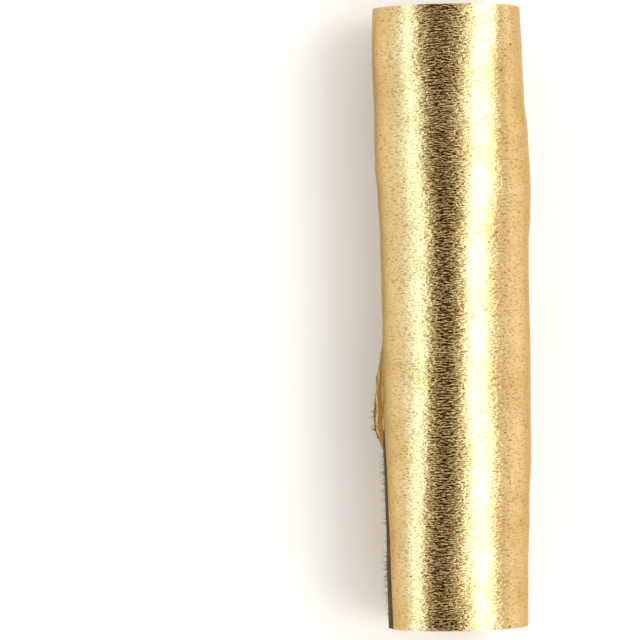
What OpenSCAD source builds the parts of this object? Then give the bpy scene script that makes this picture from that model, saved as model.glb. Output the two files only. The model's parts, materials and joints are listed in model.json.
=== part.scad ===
// Roll of wide adhesive-backed metal foil, lying on its side.
// The winding axis is Y, +Z is up and the origin is the middle of the core's bore.
// Angles go round the axis from +X through +Z, so 90 is the top and 180 the left flank.

/* [Web] */
// Width of the foil web, which is also the length of the roll
web_width = 152.4; // [50:0.1:310]
// Thickness of the metal foil
foil_t = 0.05; // [0.04:0.01:0.1]
// Thickness of the adhesive film under the foil
adhesive_t = 0.04; // [0.04:0.01:0.08]
// Thickness of the paper release liner
liner_t = 0.08; // [0.05:0.01:0.12]

/* [Core] */
// Bore of the paper tube
bore_d = 25.4; // [20:0.1:40]
// Thickness of each of the three plies of the tube
ply_t = 0.75; // [0.4:0.05:1.2]

/* [Winding] */
// Whole tight turns on the core
tight_turns = 11; // [4:1:20]
// How far the last, loose turn stands off the tight ones
slack = 1.37; // [0.6:0.01:2.4]

// Half the angle over which the loose turn lies flat on the table, seen from the axis
flat_angle = 10; // [6:1:12]

/* [Tail] */
// Angle at which the loose end bends when it is lifted
hinge_angle = 98; // [60:1:120]
// Angle of the foil's free edge at the -Y end
edge_angle_near = 158; // [140:1:175]
// Angle of the foil's free edge at the +Y end
edge_angle_far = 184; // [176:1:200]
// Angle of the liner's free edge at the -Y end, where it shows beyond the foil
liner_edge_near = 183; // [176:1:200]
// Angle of the liner's free edge at the +Y end
liner_edge_far = 187; // [176:1:200]
// Gap between the lifting tail and the wound web along the bend
bend_gap = 0.16; // [0.1:0.02:0.4]
// Gap between the tail's adhesive and its liner
release_gap = 0.1; // [0.06:0.02:0.2]

/* [Hidden] */
$fn = 96;
cut_size = 3 * web_width;

bore_r = bore_d / 2;
core_r = bore_r + 3 * ply_t;
pitch = foil_t + adhesive_t + liner_t;
// Height of each layer's underside above the underside of the laminate
liner_h = 0;
adhesive_h = liner_t;
foil_h = liner_t + adhesive_t;
// Underside of the laminate on the last tight half turn and on the loose turn
tight_r = core_r + tight_turns * pitch;
loose_r = tight_r + slack;
outer_r = loose_r + pitch;
tail_start = hinge_angle + bend_gap / outer_r * 180 / PI;
tail_end = max(edge_angle_far, liner_edge_far) + 20;

foil_gold = [0.80, 0.62, 0.28];
adhesive_amber = [0.86, 0.78, 0.58];
liner_kraft = [0.36, 0.24, 0.13];
ply_brown = [0.66, 0.55, 0.41];
ply_grey = [0.60, 0.53, 0.44];

// A stretch of sleeve around the roll's axis, over the whole width of the web
module sleeve(inner_r, wall, from, to) {
    rotate([90, 0, 0])
        rotate_extrude(angle = to - from, start = from)
            translate([inner_r, -web_width / 2])
                square([wall, web_width]);
}

// Half a turn under the axis: its centre is moved to +X by half of what the radius grows
module lower_half(inner_r, wall, growth) {
    translate([growth / 2, 0, 0])
        sleeve(inner_r + growth / 2, wall, 180, 360);
}

// The strip of a sleeve that the roll's weight presses flat, across the bottom
module flat_strip(inner_r, wall) {
    outer = inner_r + wall;
    half = flat_angle;
    rotate([90, 0, 0])
        linear_extrude(web_width, center = true)
            polygon([
                [-inner_r * sin(half), -inner_r * cos(half)],
                [-outer * sin(half), -outer * cos(half)],
                [outer * sin(half), -outer * cos(half)],
                [inner_r * sin(half), -inner_r * cos(half)]
            ]);
}

// The loose half turn under the axis, flat where it lies on the table
module loose_lower_half(inner_r, wall) {
    translate([slack / 2, 0, 0]) {
        sleeve(inner_r + slack / 2, wall, 180, 270 - flat_angle);
        flat_strip(inner_r + slack / 2, wall);
        sleeve(inner_r + slack / 2, wall, 270 + flat_angle, 360);
    }
}

// One layer of the laminate, wound outwards from the core as arcs about two centres
module wound_layer(height, wall) {
    union() {
        for (turn = [0 : tight_turns - 1]) {
            sleeve(core_r + turn * pitch + height, wall, 0, 180);
            lower_half(core_r + turn * pitch + height, wall, pitch);
        }
        sleeve(tight_r + height, wall, 0, 180);
        loose_lower_half(tight_r + height, wall);
        sleeve(loose_r + height, wall, 0, hinge_angle);
    }
}

// One layer of the tail, from the bend to its free edge, which runs askew across the web
module tail_layer(height, wall, edge_near, edge_far) {
    edge_run = outer_r * (edge_far - edge_near) * PI / 180;
    edge_skew = atan(edge_run / web_width);
    difference() {
        sleeve(loose_r + height, wall, tail_start, tail_end);
        rotate([0, 90 - (edge_near + edge_far) / 2, 0])
            rotate([0, 0, edge_skew])
                translate([-cut_size, -cut_size / 2, 0])
                    cube([cut_size, cut_size, cut_size]);
    }
}

module core_ply(index) {
    sleeve(bore_r + index * ply_t, ply_t, 0, 360);
}

module core_inner_ply() {
    color(ply_brown) core_ply(0);
}

module core_middle_ply() {
    color(ply_grey) core_ply(1);
}

module core_outer_ply() {
    color(ply_brown) core_ply(2);
}

module foil_winding() {
    color(foil_gold) wound_layer(foil_h, foil_t);
}

module adhesive_winding() {
    color(adhesive_amber) wound_layer(adhesive_h, adhesive_t);
}

module liner_winding() {
    color(liner_kraft) wound_layer(liner_h, liner_t);
}

module foil_tail() {
    color(foil_gold) tail_layer(foil_h, foil_t, edge_angle_near, edge_angle_far);
}

module adhesive_tail() {
    color(adhesive_amber) tail_layer(adhesive_h, adhesive_t, edge_angle_near, edge_angle_far);
}

module liner_tail() {
    color(liner_kraft)
        tail_layer(liner_h - release_gap, liner_t, liner_edge_near, liner_edge_far);
}

core_inner_ply();
core_middle_ply();
core_outer_ply();
foil_winding();
adhesive_winding();
liner_winding();
foil_tail();
adhesive_tail();
liner_tail();
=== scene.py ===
import json
import math
import random

import bpy
from mathutils import Matrix, Vector, noise


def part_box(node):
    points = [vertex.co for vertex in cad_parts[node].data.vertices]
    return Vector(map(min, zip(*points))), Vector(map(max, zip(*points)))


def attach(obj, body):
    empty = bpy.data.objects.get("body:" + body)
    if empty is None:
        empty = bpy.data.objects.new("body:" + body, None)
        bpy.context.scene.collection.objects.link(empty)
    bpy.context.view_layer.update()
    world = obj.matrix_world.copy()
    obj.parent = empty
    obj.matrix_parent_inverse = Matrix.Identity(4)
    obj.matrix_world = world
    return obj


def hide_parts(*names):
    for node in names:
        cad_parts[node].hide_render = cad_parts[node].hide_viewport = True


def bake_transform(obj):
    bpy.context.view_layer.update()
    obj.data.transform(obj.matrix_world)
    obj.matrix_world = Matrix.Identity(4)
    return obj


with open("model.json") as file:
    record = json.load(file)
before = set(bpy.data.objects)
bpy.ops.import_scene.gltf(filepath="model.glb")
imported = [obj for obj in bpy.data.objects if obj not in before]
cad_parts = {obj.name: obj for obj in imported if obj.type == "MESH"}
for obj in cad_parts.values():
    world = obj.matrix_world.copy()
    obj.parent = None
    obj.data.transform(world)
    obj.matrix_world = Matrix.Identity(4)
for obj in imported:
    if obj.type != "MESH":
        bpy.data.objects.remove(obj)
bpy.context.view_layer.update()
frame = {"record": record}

print("frame loaded")

boreRadius = frame["record"]["mounts"][0]["dims"]["r_mm"] / 1000
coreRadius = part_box("core_outer_ply")[1].x
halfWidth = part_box("foil_winding")[1].y
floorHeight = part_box("foil_winding")[0].z

mm = 0.001
beneathTurn = 11    # the layer beneath the free end
outerTurn = 12      # the free end itself

# the laminate, wound outwards from the core; a turn is counted from +X through +Z
web = {
    "linerThickness": 0.08 * mm,
    "adhesiveThickness": 0.04 * mm,
    "foilThickness": 0.05 * mm,
    "coilEnd": 10.4,        # turns of plain tight coil
    "looseStart": 11.5,     # where the last turn leaves the tight ones
    "bottomSeam": 11.75,    # where the outer sheet starts, under the roll
    "edgeTurnNear": outerTurn + 158 / 360,
    "edgeTurnFar": outerTurn + 182 / 360,
    "linerTurn": outerTurn + 184 / 360,    # the liner's own edge, where it isn't torn
    "linerTornFrom": -31 * mm,      # from here towards +Y the liner is torn back to the foil
    "tearLength": 4 * mm,
    "tornBeyondFoil": 0.006,
    # waver of each free edge: place in the noise, cells per metre, depth in turns
    "foilWaver": [(3.1, 900, 0.0004)],
    "linerWaver": [(7.7, 500, 0.0045), (1.7, 1900, 0.0035)],
    # shallow ripples: cells per radian round the roll and per metre along it, place in the noise, height
    "ripples": [(1.3, 60, 3.7, 0.10 * mm), (2.6, 170, 5.3, 0.028 * mm), (6, 420, 9.1, 0.014 * mm)],
    "rippleStart": 0.25,    # turns over which the ripples set in
    "looseOver": 0.5,       # turns over which the loose turn leaves the tight ones
    "endUnevenness": 0.22 * mm,
    "endNoise": (1.7, 3, 0.4),
    "bendLength": 9 * mm,   # how much of the web bends when the free end lifts
    "smoothAngle": math.radians(50),
    "meanRadius": 1.15,     # of the winding, in core radii, so that the pattern isn't stretched
    "coilGrid": (748, 2),
}
pitch = web["linerThickness"] + web["adhesiveThickness"] + web["foilThickness"]
layerHeight = {
    "liner": 0.0,
    "adhesive": web["linerThickness"],
    "foil": web["linerThickness"] + web["adhesiveThickness"],
}

# the loose turn along the roll: each list holds (distance along Y, millimetres)
looseTurn = {
    "rightRadius": [(-77, 17.3), (-60, 17.5), (-48, 17.95), (-33, 18.65), (-5, 18.85), (10, 18.7),
                    (18, 18.8), (24, 19.4), (32, 19.6), (44, 19.1), (54, 18.3), (66, 17.95), (77, 17.6)],
    "leftRadius": [(-77, 17.3), (-60, 17.5), (-40, 17.7), (-25, 18.1), (0, 17.8), (20, 17.95),
                   (29, 18.3), (38, 18.8), (50, 18.8), (64, 19.1), (77, 18.8)],
    "crownPeak": [(-77, -0.32), (-66, -0.15), (-45, 0.0), (-12, 0.30), (18, 0.30), (45, 0.0), (77, -0.33)],
    "crownLean": [(-77, -0.36), (-66, -0.58), (-30, -0.28), (0, -0.25), (30, 0.10), (77, 0.80)],
    "crownReach": math.radians(80),
    "crownFade": math.radians(35),
}

# the buckle in the layer beneath the tail, on the left flank
buckle = {
    "height": 3.1 * mm,
    "angle": math.radians(188),
    "angleReach": math.radians(25),
    "turnReach": 0.3,
    "taper": 1.3,
    "markSpread": 3,        # how far the crumpled look and the painted shade on the buckle run out towards its rim
    "peak": -24.5 * mm,
    "farEnd": -2.0 * mm,
    "nearEnd": -35.0 * mm,
    "crinkle": 0.45 * mm,
    # cells per radian and per metre, place in the noise, share of the height
    "crinkles": [(7, 330, 1.3, 1.0), (15, 800, 4, 0.5)],
    "foldAngle": math.radians(179.5),
    "foldReach": math.radians(2.2),
    "foldHeight": 0.12 * mm,
}


def smoothStep(x):
    x = min(1.0, max(0.0, x))
    return x * x * (3 - 2 * x)


# value at y, eased between the listed places
def alongProfile(points, y):
    here = y / mm
    for (y0, r0), (y1, r1) in zip(points, points[1:]):
        if here <= y1:
            return (r0 + (r1 - r0) * smoothStep((here - y0) / (y1 - y0))) * mm
    return points[-1][1] * mm


# several noises added up, each listed as cells per radian, cells per metre, place in the noise, height
def layeredNoise(noises, angle, y):
    return sum(noise.noise(Vector((angle * around, y * along, place))) * height
               for around, along, place, height in noises)


# shallow unevenness of the foil, which makes the reflections wander
def ripple(turn, y):
    return layeredNoise(web["ripples"], turn * 2 * math.pi, y)


# how far the crown of the loose turn departs from round; off is the angle from the top, left positive
def crown(off, y):
    fade = smoothStep((looseTurn["crownReach"] - abs(off)) / looseTurn["crownFade"])
    peak = alongProfile(looseTurn["crownPeak"], y) * math.cos(4 * off)
    lean = alongProfile(looseTurn["crownLean"], y) * math.sin(2 * off)
    return fade * (peak - lean)


# how much of the buckle is at this place: 0 outside it, 1 at its summit, and the same along its length alone
def buckleShare(turn, y):
    if abs(turn - web["looseStart"]) > buckle["turnReach"]:
        return 0.0, 0.0
    angle = (turn - beneathTurn) * 2 * math.pi
    fromMiddle = abs(angle - buckle["angle"]) / buckle["angleReach"]
    end = buckle["farEnd"] if y > buckle["peak"] else buckle["nearEnd"]
    fromPeak = (y - buckle["peak"]) / (end - buckle["peak"])
    if fromMiddle >= 1 or fromPeak >= 1:
        return 0.0, 0.0
    lengthwise = math.cos(fromPeak * math.pi / 2) ** buckle["taper"]
    return math.cos(fromMiddle * math.pi / 2) ** 2 * lengthwise, lengthwise


# how much of the sharp fold along the buckle is at this place
def foldShare(turn, y):
    lengthwise = buckleShare(turn, y)[1]
    off = ((turn - beneathTurn) * 2 * math.pi - buckle["foldAngle"]) / buckle["foldReach"]
    return lengthwise * max(0.0, 1 - abs(off)) if abs(off) < 1 else 0.0


# radius of the underside of the laminate at this turn and place along the roll
def underside(turn, y):
    tight = coreRadius + pitch * min(turn, web["looseStart"])
    if turn < web["coilEnd"]:
        return tight
    angle = turn * 2 * math.pi
    radius = tight
    if turn > web["looseStart"]:
        right = alongProfile(looseTurn["rightRadius"], y) - pitch
        left = alongProfile(looseTurn["leftRadius"], y) - pitch
        side = (1 - math.cos(angle)) / 2 if turn > outerTurn else 0
        loose = right + (left - right) * side
        radius = tight + (loose - tight) * smoothStep((turn - web["looseStart"]) / web["looseOver"])
    if turn > outerTurn:
        radius += crown((turn - outerTurn - 0.25) * 2 * math.pi, y)
    share = buckleShare(turn, y)[0]
    if share > 0:
        crinkle = layeredNoise(buckle["crinkles"], angle, y)
        radius += buckle["height"] * share + buckle["foldHeight"] * foldShare(turn, y)
        radius += buckle["crinkle"] * crinkle * min(1, share * 2)
    radius += ripple(turn, y) * smoothStep((turn - web["coilEnd"]) / web["rippleStart"])
    return max(radius, coreRadius + pitch * turn) if turn > outerTurn else radius


# how far a free edge strays from its line at this place along the roll, in turns
def waver(noises, y):
    return sum(noise.noise(Vector((place, y * cells, 0))) * depth for place, cells, depth in noises)


# the turn at which the foil's free edge cuts across the web
def foilEdge(y):
    share = (y + halfWidth) / (2 * halfWidth)
    line = web["edgeTurnNear"] + (web["edgeTurnFar"] - web["edgeTurnNear"]) * share
    return line + waver(web["foilWaver"], y)


# the liner's edge: straight towards -Y, torn back to the foil from the buckle on
def linerEdge(y):
    torn = smoothStep((y - web["linerTornFrom"]) / web["tearLength"])
    straight = web["linerTurn"]
    line = straight + (foilEdge(y) + web["tornBeyondFoil"] - straight) * torn
    return line + waver(web["linerWaver"], y)


def onlyActive(piece):
    bpy.ops.object.select_all(action="DESELECT")
    piece.select_set(True)
    bpy.context.view_layer.objects.active = piece


def applyModifier(piece, kind, **settings):
    modifier = piece.modifiers.new(kind.title(), kind)
    for key, value in settings.items():
        setattr(modifier, key, value)
    onlyActive(piece)
    bpy.ops.object.modifier_apply(modifier=modifier.name)


# a flat grid rolled up round the axis, then given the layer's thickness
def rollSheet(name, layer, fromTurn, toTurn, along, across):
    bpy.ops.object.select_all(action="DESELECT")
    bpy.ops.mesh.primitive_grid_add(x_subdivisions=along, y_subdivisions=across, size=1)
    sheet = bpy.context.object
    sheet.name = name
    mesh = sheet.data
    uvLayer = mesh.uv_layers.active.data
    height = layerHeight[layer]
    lowest = floorHeight + pitch - height
    perTurn, perHeight, place = web["endNoise"]
    places = []
    crumpleAndShade = []
    foldHighlight = []
    for vertex in mesh.vertices:
        y = halfWidth * -2 * vertex.co.y
        end = toTurn(y) if callable(toTurn) else toTurn
        turn = fromTurn + (vertex.co.x + 0.5) * (end - fromTurn)
        rough = noise.noise(Vector((turn * perTurn, height / mm * perHeight, place)))
        inset = web["endUnevenness"] * (0.5 + rough)
        y *= 1 - max(0, inset) / halfWidth
        radius = underside(turn, y) + height
        angle = turn * 2 * math.pi
        vertex.co = (radius * math.cos(angle), y, max(lowest, radius * math.sin(angle)))
        # the buckle's share, for its roughness and creases and for the painted shade over it
        crumpleAndShade.append(min(1, buckle["markSpread"] * buckleShare(turn, y)[0]))
        # where the painted highlight runs along the buckle's fold
        foldHighlight.append(foldShare(turn, y))
        places.append((angle * coreRadius * web["meanRadius"], y))
    for loop in mesh.loops:
        uvLayer[loop.index].uv = places[loop.vertex_index]
    for attribute, values in (("crumpleAndShade", crumpleAndShade), ("foldHighlight", foldHighlight)):
        mesh.attributes.new(attribute, "FLOAT", "POINT").data.foreach_set("value", values)
    applyModifier(sheet, "SOLIDIFY", thickness=web[layer + "Thickness"], offset=1.0)
    onlyActive(sheet)
    bpy.ops.object.shade_smooth_by_angle(angle=web["smoothAngle"])
    return sheet


def newMaterial(name):
    material = bpy.data.materials.new(name)
    material.use_nodes = True
    return material, material.node_tree.nodes, material.node_tree.links


def addNode(nodes, kind, **inputs):
    node = nodes.new(kind)
    for key, value in inputs.items():
        node.inputs[key.replace("_", " ")].default_value = value
    return node


# noise with its own stretch: cells per metre on each axis
def noiseOver(nodes, links, source, scale, detail=2.0, distortion=0.0, turned=0.0):
    texture = addNode(nodes, "ShaderNodeTexNoise", Scale=1.0, Detail=detail, Distortion=distortion)
    mapping = addNode(nodes, "ShaderNodeMapping", Scale=scale, Rotation=(0, 0, turned))
    links.new(source, mapping.inputs["Vector"])
    links.new(mapping.outputs["Vector"], texture.inputs["Vector"])
    return texture.outputs["Fac"]


def spread(nodes, links, value, low, high, toLow, toHigh):
    node = nodes.new("ShaderNodeMapRange")
    node.inputs["From Min"].default_value = low
    node.inputs["From Max"].default_value = high
    node.inputs["To Min"].default_value = toLow
    node.inputs["To Max"].default_value = toHigh
    links.new(value, node.inputs["Value"])
    return node.outputs["Result"]


def compute(nodes, links, operation, *values):
    node = nodes.new("ShaderNodeMath")
    node.operation = operation
    for socket, value in zip(node.inputs, values):
        if isinstance(value, (int, float)):
            socket.default_value = value
        else:
            links.new(value, socket)
    return node.outputs["Value"]


# a colour that goes from one to the other by a share
def blendColours(nodes, links, share, low, high):
    node = nodes.new("ShaderNodeMix")
    node.data_type = "RGBA"
    links.new(share, node.inputs["Factor"])
    for socket, value in ((node.inputs["A"], low), (node.inputs["B"], high)):
        if isinstance(value, tuple):
            socket.default_value = value
        else:
            links.new(value, socket)
    return node.outputs["Result"]


def readAttribute(nodes, name):
    node = nodes.new("ShaderNodeAttribute")
    node.attribute_name = name
    return node.outputs["Fac"]


# small spots scattered one to a cell, in only some of the cells
def scatteredSpots(nodes, links, source, scale, share, size):
    mapping = addNode(nodes, "ShaderNodeMapping", Scale=scale)
    cells = addNode(nodes, "ShaderNodeTexVoronoi", Scale=1.0)
    links.new(source, mapping.inputs["Vector"])
    links.new(mapping.outputs["Vector"], cells.inputs["Vector"])
    split = nodes.new("ShaderNodeSeparateColor")
    links.new(cells.outputs["Color"], split.inputs["Color"])
    chosen = compute(nodes, links, "LESS_THAN", split.outputs["Red"], share)
    limit = compute(nodes, links, "MULTIPLY", split.outputs["Green"], size)
    near = compute(nodes, links, "LESS_THAN", cells.outputs["Distance"], limit)
    return compute(nodes, links, "MULTIPLY", chosen, near)


foilLook = {
    "gold": (0.67, 0.495, 0.245, 1),
    "deepGold": (0.54, 0.365, 0.13, 1),
    # dark colour for the random specks and for the painted shade in the dents
    "speckAndDentShade": (0.16, 0.10, 0.035, 1),
    # painted shade: the buckle is darkened because it faces down, away from the light
    "paintedBuckleShade": (0.27, 0.15, 0.035, 1),
    # painted highlight: a bright line along the buckle's fold
    "paintedFoldHighlight": (0.86, 0.68, 0.40, 1),
    "grazingTint": (0.78, 0.68, 0.50, 1),
    "roughLow": 0.06,
    "roughHigh": 0.16,
    "crumpledRoughness": 0.12,      # added where the foil is crumpled
    "dashes": (850, 2300, 1),       # cells per metre round the roll and along it
    "dentShade": (0.38, 0.48, 0.45, 0.0),       # the lows of the dashes that get painted shade, and how dark
    "dashDepth": 0.00018,
    "dimples": (260, 420, 1),
    "dimpleDepth": 0.00013,
    "creases": (520, 380, 1),       # only where the foil is crumpled
    "creaseDepth": 0.0006,
    "patches": (60, 110, 1),
    "patchTone": (0.3, 0.6, 0.35, 1.0),
    "specks": (620, 1100, 1),
    "speckShare": 0.10,
    "speckSize": 0.24,
}


def foilMaterial():
    look = foilLook
    material, nodes, links = newMaterial("goldFoil")
    shader = nodes["Principled BSDF"]
    shader.inputs["Metallic"].default_value = 1.0
    shader.inputs["Specular Tint"].default_value = look["grazingTint"]
    place = nodes.new("ShaderNodeTexCoord").outputs["UV"]
    dashes = noiseOver(nodes, links, place, look["dashes"], 2.5, 0.7, 0.12)
    dimples = noiseOver(nodes, links, place, look["dimples"], 2.0, 0.4)
    patches = noiseOver(nodes, links, place, look["patches"], 4.0)
    specks = scatteredSpots(nodes, links, place, look["specks"], look["speckShare"], look["speckSize"])
    crumpleAndShade = readAttribute(nodes, "crumpleAndShade")
    foldHighlight = readAttribute(nodes, "foldHighlight")
    tone = blendColours(nodes, links, spread(nodes, links, patches, *look["patchTone"]),
                        look["deepGold"], look["gold"])
    # painted shade in the hollows of the grain
    dentShade = spread(nodes, links, dashes, *look["dentShade"])
    # painted shade over the buckle
    tone = blendColours(nodes, links, crumpleAndShade, tone, look["paintedBuckleShade"])
    # painted highlight along the fold
    tone = blendColours(nodes, links, foldHighlight, tone, look["paintedFoldHighlight"])
    tone = blendColours(nodes, links, dentShade, tone, look["speckAndDentShade"])
    tone = blendColours(nodes, links, specks, tone, look["speckAndDentShade"])
    links.new(tone, shader.inputs["Base Color"])
    rough = spread(nodes, links, dashes, 0.3, 0.7, look["roughLow"], look["roughHigh"])
    added = compute(nodes, links, "MULTIPLY", crumpleAndShade, look["crumpledRoughness"])
    rough = compute(nodes, links, "ADD", rough, added)
    links.new(rough, shader.inputs["Roughness"])
    broad = addNode(nodes, "ShaderNodeBump", Strength=1.0, Distance=look["dimpleDepth"])
    links.new(dimples, broad.inputs["Height"])
    grain = addNode(nodes, "ShaderNodeBump", Strength=1.0, Distance=look["dashDepth"])
    links.new(dashes, grain.inputs["Height"])
    links.new(broad.outputs["Normal"], grain.inputs["Normal"])
    creases = noiseOver(nodes, links, place, look["creases"], 3.0, 1.2)
    creased = addNode(nodes, "ShaderNodeBump", Strength=1.0, Distance=look["creaseDepth"])
    links.new(compute(nodes, links, "MULTIPLY", creases, crumpleAndShade), creased.inputs["Height"])
    links.new(grain.outputs["Normal"], creased.inputs["Normal"])
    links.new(creased.outputs["Normal"], shader.inputs["Normal"])
    return material


adhesiveLook = {
    "thin": (0.50, 0.33, 0.12, 1),
    "thick": (0.66, 0.50, 0.24, 1),
    "roughness": 0.22,
    "waves": (400, 400, 1),
    "waveDepth": 0.00005,
    "waveStrength": 0.3,
}


def adhesiveMaterial():
    material, nodes, links = newMaterial("amberAdhesive")
    shader = nodes["Principled BSDF"]
    place = nodes.new("ShaderNodeTexCoord").outputs["UV"]
    waves = noiseOver(nodes, links, place, adhesiveLook["waves"], 3.0)
    links.new(blendColours(nodes, links, waves, adhesiveLook["thin"], adhesiveLook["thick"]),
              shader.inputs["Base Color"])
    shader.inputs["Roughness"].default_value = adhesiveLook["roughness"]
    bump = addNode(nodes, "ShaderNodeBump", Strength=adhesiveLook["waveStrength"],
                   Distance=adhesiveLook["waveDepth"])
    links.new(waves, bump.inputs["Height"])
    links.new(bump.outputs["Normal"], shader.inputs["Normal"])
    return material


paperLook = {
    # the liner is brown kraft paper; its colour is darkened to near black as painted shade of the gap beside
    # the foil's free edge
    "kraftLinerWithShade": {"dark": (0.030, 0.012, 0.002, 1), "light": (0.105, 0.052, 0.012, 1),
                   "fibres": (250, 1400, 1), "roughness": 0.7, "specular": 0.12},
    "kraftBoard": {"dark": (0.30, 0.20, 0.12, 1), "light": (0.46, 0.34, 0.22, 1),
                   "fibres": (300, 90, 300), "roughness": 0.85, "specular": 0.3},
    "greyBoard": {"dark": (0.28, 0.24, 0.19, 1), "light": (0.42, 0.37, 0.30, 1),
                  "fibres": (300, 90, 300), "roughness": 0.85, "specular": 0.3},
}

paperGrain = {
    "specks": (700, 700, 700),
    "tone": (0.3, 0.7, 0.0, 1.0),
    "depth": 0.0001,
    "strength": 0.5,
    "grooveDepth": 2.0,
    "grooveFloor": 0.3,     # the flat middle of the seam, as a share of its width
}


# paper or board with fibres that run mostly one way
def paperMaterial(name, coordinates, seam=None):
    look = paperLook[name]
    material, nodes, links = newMaterial(name)
    shader = nodes["Principled BSDF"]
    place = nodes.new("ShaderNodeTexCoord").outputs[coordinates]
    fibres = noiseOver(nodes, links, place, look["fibres"], 5.0)
    specks = noiseOver(nodes, links, place, paperGrain["specks"], 2.0)
    tone = blendColours(nodes, links, spread(nodes, links, fibres, *paperGrain["tone"]),
                        look["dark"], look["light"])
    height = compute(nodes, links, "ADD", fibres, specks)
    if seam:
        # distance along the bore from the helical joint between the edges of the strip
        split = nodes.new("ShaderNodeSeparateXYZ")
        links.new(place, split.inputs["Vector"])
        around = compute(nodes, links, "ARCTAN2", split.outputs["Z"], split.outputs["X"])
        ahead = compute(nodes, links, "MULTIPLY", around, seam["pitch"] / (2 * math.pi))
        off = compute(nodes, links, "SUBTRACT", ahead, split.outputs["Y"])
        away = compute(nodes, links, "PINGPONG", off, seam["pitch"] / 2)
        flat = seam["width"] * paperGrain["grooveFloor"]
        groove = spread(nodes, links, away, flat, seam["width"], 1.0, 0.0)
        tone = blendColours(nodes, links, groove, tone, seam["shade"])
        sunk = compute(nodes, links, "MULTIPLY", groove, paperGrain["grooveDepth"])
        height = compute(nodes, links, "SUBTRACT", height, sunk)
    links.new(tone, shader.inputs["Base Color"])
    shader.inputs["Roughness"].default_value = look["roughness"]
    shader.inputs["Specular IOR Level"].default_value = look["specular"]
    bump = addNode(nodes, "ShaderNodeBump", Strength=paperGrain["strength"], Distance=paperGrain["depth"])
    links.new(height, bump.inputs["Height"])
    links.new(bump.outputs["Normal"], shader.inputs["Normal"])
    return material


core = {
    "sides": 128,
    "plies": 3,
    "smoothAngle": math.radians(40),
    "edgeRounding": 0.08 * mm,
    "seam": {"pitch": 62 * mm, "width": 0.7 * mm, "shade": (0.12, 0.08, 0.05, 1)},
}

goldFoil = foilMaterial()
amberAdhesive = adhesiveMaterial()
kraftLinerWithShade = paperMaterial("kraftLinerWithShade", "UV")
kraftBoard = paperMaterial("kraftBoard", "Object")
seamedBoard = paperMaterial("kraftBoard", "Object", core["seam"])
seamedBoard.name = "seamedBoard"
greyBoard = paperMaterial("greyBoard", "Object")
print("materials made")

# material, slot, and how finely each layer's sheets are divided
layers = {
    "foil": (goldFoil, "foil", (230, 200), (190, 240), foilEdge),
    "adhesive": (amberAdhesive, "adhesive", (230, 200), (110, 120), foilEdge),
    "liner": (kraftLinerWithShade, "liner", (230, 200), (130, 300), linerEdge),
}


def finish(piece, material, body):
    piece.data.materials.clear()
    piece.data.materials.append(material)
    if body:
        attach(piece, body)


for layer, (material, slot, underGrid, tailGrid, edge) in layers.items():
    coil = rollSheet(layer + "Coil", layer, 0.0, web["coilEnd"], *web["coilGrid"])
    finish(coil, material, "roll")
    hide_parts(layer + "_winding")
    under = rollSheet(layer + "UnderTurn", layer, web["coilEnd"], web["bottomSeam"], *underGrid)
    finish(under, material, "roll")
    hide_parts(layer + "_winding")
    tail = rollSheet(layer + "TailSheet", layer, web["bottomSeam"], edge, *tailGrid)
    finish(tail, material, None)
    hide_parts(layer + "_tail")
    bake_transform(tail)
    print(layer, "wound")

# loose paper fibres, thin hairs torn out of the liner
fibre = {
    "thickness": 0.05 * mm,
    "shortest": 0.25 * mm,
    "longest": 1.9 * mm,
    "seed": 11,
    "onLiner": 190,
    "onBuckle": 55,
    "tipShare": 0.3,
    "mostlyShort": 2.5,
    "sideways": 1.1,
    "tilt": 0.6,
    "bend": 0.35,
    "linerSpan": (-75, -30),                # millimetres along Y
    "linerTufts": ((-38, 3), (-62, 4)),     # middle and spread of the thicker places
    "buckleSpan": (-33, -8, -27),           # ends and thickest place
    "buckleAngles": (180, 192),
}


def fibreBunch(name, count, places, body):
    chance = random.Random(fibre["seed"])
    bpy.ops.object.select_all(action="DESELECT")
    bpy.ops.mesh.primitive_cone_add(vertices=4, radius1=fibre["thickness"],
                                    radius2=fibre["thickness"] * fibre["tipShare"], depth=1)
    hair = bpy.context.object
    bpy.ops.object.mode_set(mode="EDIT")
    bpy.ops.mesh.select_all(action="SELECT")
    bpy.ops.mesh.subdivide(number_cuts=2)
    bpy.ops.object.mode_set(mode="OBJECT")
    shape = [vertex.co.copy() for vertex in hair.data.vertices]
    hairs = []
    for _ in range(count):
        root, outward, alongEdge = places(chance)
        share = chance.random() ** fibre["mostlyShort"]
        length = fibre["shortest"] + (fibre["longest"] - fibre["shortest"]) * share
        heading = outward + Vector((0, chance.uniform(-fibre["sideways"], fibre["sideways"]), 0))
        heading += alongEdge * chance.uniform(-fibre["tilt"], fibre["tilt"])
        turned = heading.to_track_quat("Z", "Y")
        bend = chance.uniform(-fibre["bend"], fibre["bend"]) * length
        copied = hair.copy()
        copied.data = hair.data.copy()
        bpy.context.scene.collection.objects.link(copied)
        for vertex, spot in zip(copied.data.vertices, shape):
            reach = spot.z + 0.5
            local = Vector((spot.x + bend * reach * reach, spot.y, reach * length))
            vertex.co = root + turned @ local
        hairs.append(copied)
    bpy.data.objects.remove(hair)
    bpy.ops.object.select_all(action="DESELECT")
    for piece in hairs:
        piece.select_set(True)
    bpy.context.view_layer.objects.active = hairs[0]
    bpy.ops.object.join()
    bunch = bpy.context.object
    bunch.name = name
    finish(bunch, kraftLinerWithShade, body)


# a hair's root, the way outwards there and the way round the roll
def rootAt(turn, y, height):
    angle = turn * 2 * math.pi
    radius = underside(turn, y) + height
    outward = Vector((math.cos(angle), 0, math.sin(angle)))
    return outward * radius + Vector((0, y, 0)), outward, Vector((-outward.z, 0, outward.x))


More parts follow.
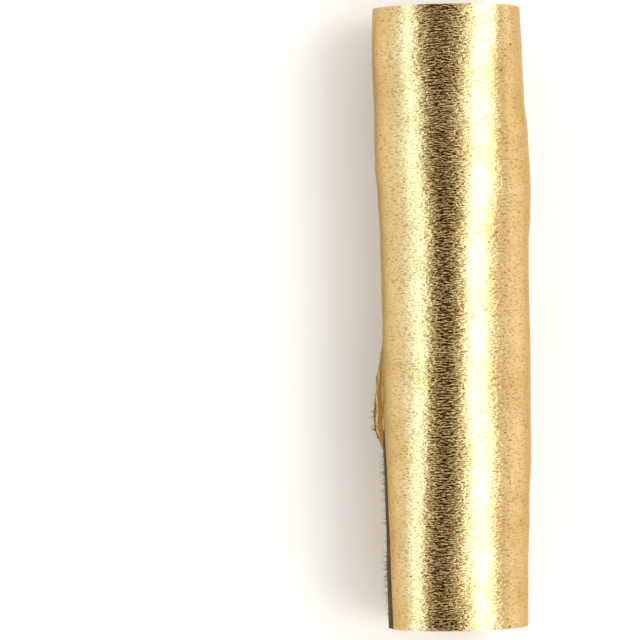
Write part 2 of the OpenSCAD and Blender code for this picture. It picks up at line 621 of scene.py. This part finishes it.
def onLinerEdge(chance):
    low, high = fibre["linerSpan"]
    first, second = fibre["linerTufts"]
    y = chance.choice((chance.uniform(low, high), chance.gauss(*first), chance.gauss(*second))) * mm
    y = min(high * mm, max(low * mm, y))
    turn = linerEdge(y) - chance.uniform(0, 0.004)
    return rootAt(turn, y, web["linerThickness"] * 0.5)


def onBuckle(chance):
    low, high, thickest = fibre["buckleSpan"]
    y = chance.triangular(low * mm, high * mm, thickest * mm)
    turn = beneathTurn + chance.uniform(*fibre["buckleAngles"]) / 360
    return rootAt(turn, y, pitch * 0.8)


fibreBunch("linerFibres", fibre["onLiner"], onLinerEdge, "tail_liner")
fibreBunch("buckleFibres", fibre["onBuckle"], onBuckle, "roll")
print("fibres added")


def corePly(name, node, material):
    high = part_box(node)[1]
    wall = (coreRadius - boreRadius) / core["plies"]
    bpy.ops.object.select_all(action="DESELECT")
    bpy.ops.mesh.primitive_cylinder_add(vertices=core["sides"], radius=high.x, depth=2 * high.y,
                                        end_fill_type="NOTHING", rotation=(math.radians(90), 0, 0))
    ply = bpy.context.object
    ply.name = name
    bpy.ops.object.transform_apply(location=True, rotation=True, scale=True)
    bpy.ops.object.mode_set(mode="EDIT")
    bpy.ops.mesh.select_all(action="SELECT")
    bpy.ops.mesh.subdivide(number_cuts=1)
    bpy.ops.object.mode_set(mode="OBJECT")
    applyModifier(ply, "SOLIDIFY", thickness=wall, offset=-1.0)
    applyModifier(ply, "BEVEL", width=core["edgeRounding"], segments=2, limit_method="ANGLE")
    onlyActive(ply)
    bpy.ops.object.shade_smooth_by_angle(angle=core["smoothAngle"])
    finish(ply, material, "roll")
    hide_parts(node)


corePly("coreInnerPly", "core_inner_ply", seamedBoard)
corePly("coreMiddlePly", "core_middle_ply", greyBoard)
corePly("coreOuterPly", "core_outer_ply", kraftBoard)
print("core made")

studio = {
    "floorSize": 4.0,
    "floorColour": (0.89, 0.785, 0.70, 1),
    "floorRoughness": 0.9,
    # brightness of the sky by the cosine of the angle from skyTop, darkest overhead
    "sky": [(0.0, (1.1, 1.07, 1.02)), (0.20, (1.1, 1.07, 1.02)), (0.42, (1.3, 1.42, 1.55)),
            (0.60, (1.5, 1.85, 2.25)), (0.78, (1.3, 1.4, 1.45)), (0.845, (0.95, 0.86, 0.66)),
            (0.905, (0.36, 0.22, 0.08)), (0.951, (0.09, 0.045, 0.012)), (0.982, (0.025, 0.012, 0.003))],
    "skyTop": math.radians(19),      # how far the dark part leans to the left of straight up
    "keyDistance": 0.7,
    "keyFromZenith": math.radians(44),
    "keySize": (0.44, 0.90),
    "keyTurn": math.radians(-15),
    "keyWatts": 4.2,
    "keyColour": (1, 0.99, 0.97),
    "fillFromZenith": math.radians(-62),
    "fillSize": (0.18, 0.90),
    "fillWatts": 1.1,
    "fillColour": (0.50, 0.80, 1.0),
    "sensorWidth": 36,
    "cameraHeight": 1.15,
    "frameWidth": 0.1576,    # what the picture takes in at the height of the axis
    "aimX": -0.0329,
    "aimY": -0.0001,
    "lean": math.radians(-0.93),
}

bpy.ops.object.select_all(action="DESELECT")
bpy.ops.mesh.primitive_plane_add(size=studio["floorSize"], location=(0, 0, floorHeight))
floor = bpy.context.object
floor.name = "floor"
floorPaint, nodes, links = newMaterial("floorPaint")
nodes["Principled BSDF"].inputs["Base Color"].default_value = studio["floorColour"]
nodes["Principled BSDF"].inputs["Roughness"].default_value = studio["floorRoughness"]
floor.data.materials.append(floorPaint)


def areaLight(name, fromZenith, distance, size, turned, watts, colour):
    light = bpy.data.lights.new(name, "AREA")
    light.shape = "RECTANGLE"
    light.size, light.size_y = size
    light.energy = watts
    light.color = colour
    lamp = bpy.data.objects.new(name, light)
    bpy.context.scene.collection.objects.link(lamp)
    lamp.matrix_world = (Matrix.Rotation(fromZenith, 4, "Y") @ Matrix.Translation((0, 0, distance))
                         @ Matrix.Rotation(turned, 4, "Z"))


areaLight("keyLight", studio["keyFromZenith"], studio["keyDistance"], studio["keySize"],
          studio["keyTurn"], studio["keyWatts"], studio["keyColour"])
areaLight("fillLight", studio["fillFromZenith"], studio["keyDistance"], studio["fillSize"],
          0.0, studio["fillWatts"], studio["fillColour"])

world = bpy.data.worlds.new("studio")
bpy.context.scene.world = world
world.use_nodes = True
worldNodes, worldLinks = world.node_tree.nodes, world.node_tree.links
direction = worldNodes.new("ShaderNodeTexCoord").outputs["Generated"]
fromTop = worldNodes.new("ShaderNodeVectorMath")
fromTop.operation = "DOT_PRODUCT"
fromTop.inputs[1].default_value = (-math.sin(studio["skyTop"]), 0, math.cos(studio["skyTop"]))
worldLinks.new(direction, fromTop.inputs[0])
ramp = worldNodes.new("ShaderNodeValToRGB")
for height, colour in studio["sky"][1:-1]:
    ramp.color_ramp.elements.new(height)
for stop, (height, colour) in zip(ramp.color_ramp.elements, studio["sky"]):
    stop.position = height
    stop.color = (*colour, 1)
worldLinks.new(fromTop.outputs["Value"], ramp.inputs["Fac"])
worldLinks.new(ramp.outputs["Color"], worldNodes["Background"].inputs["Color"])

cameraData = bpy.data.cameras.new("camera")
cameraData.sensor_width = studio["sensorWidth"]
cameraData.lens = studio["sensorWidth"] * studio["cameraHeight"] / studio["frameWidth"]
camera = bpy.data.objects.new("camera", cameraData)
bpy.context.scene.collection.objects.link(camera)
camera.location = (studio["aimX"], studio["aimY"], studio["cameraHeight"])
camera.rotation_euler = (0, 0, studio["lean"])
bpy.context.scene.camera = camera
bpy.context.scene.view_settings.view_transform = "Standard"
print("studio set")
